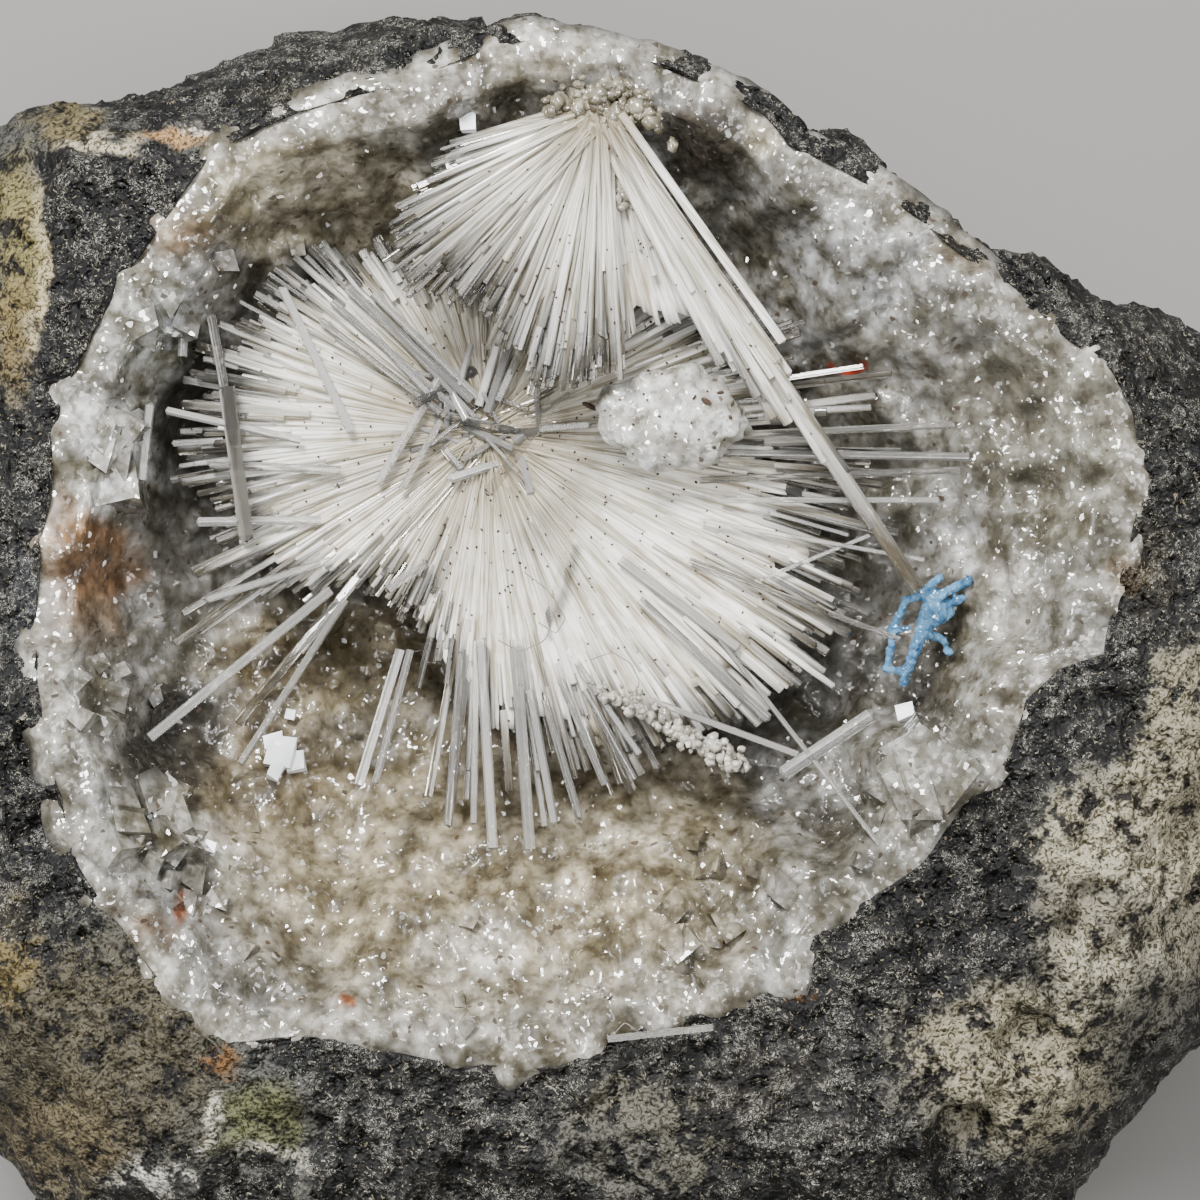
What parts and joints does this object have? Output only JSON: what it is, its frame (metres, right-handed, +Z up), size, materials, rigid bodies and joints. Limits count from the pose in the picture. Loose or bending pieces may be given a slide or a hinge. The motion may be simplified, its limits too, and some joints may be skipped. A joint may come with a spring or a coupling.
{
  "type": "natrolite specimen",
  "caption": "Sprays of slender glassy natrolite needles in the crystal-lined hollow of a basalt cobble, lying on its flat back",
  "frame": {"origin": "middle of the footprint, at the flat broken back the specimen lies on", "axes": "+Z up out of the broken face with the hollow, +X along the longest side, +Y towards the edge where the upper fan hangs"},
  "size_m": [0.073, 0.0678, 0.0347],
  "materials": {
    "basalt": "fresh broken and weathered basalt, rough",
    "drusy_crust": "fine crystal crust, grey white to tan, sparkling",
    "milky_natrolite": "milky white, silky along the needles",
    "clear_natrolite": "clear, vitreous",
    "white_crust": "white, finely knobbly",
    "blue_grain": "blue, glassy"
  },
  "bodies": {
    "root": {"basalt_matrix": "basalt", "cavity_crust": "drusy_crust", "main_spray": "milky_natrolite", "upper_fan": "milky_natrolite", "white_knob": "white_crust", "blue_sprig": "blue_grain", "loose_needle_1": "clear_natrolite", "loose_needle_2": "clear_natrolite", "loose_needle_3": "clear_natrolite", "loose_needle_4": "clear_natrolite", "rim_needle": "clear_natrolite"}
  },
  "joints": []
}
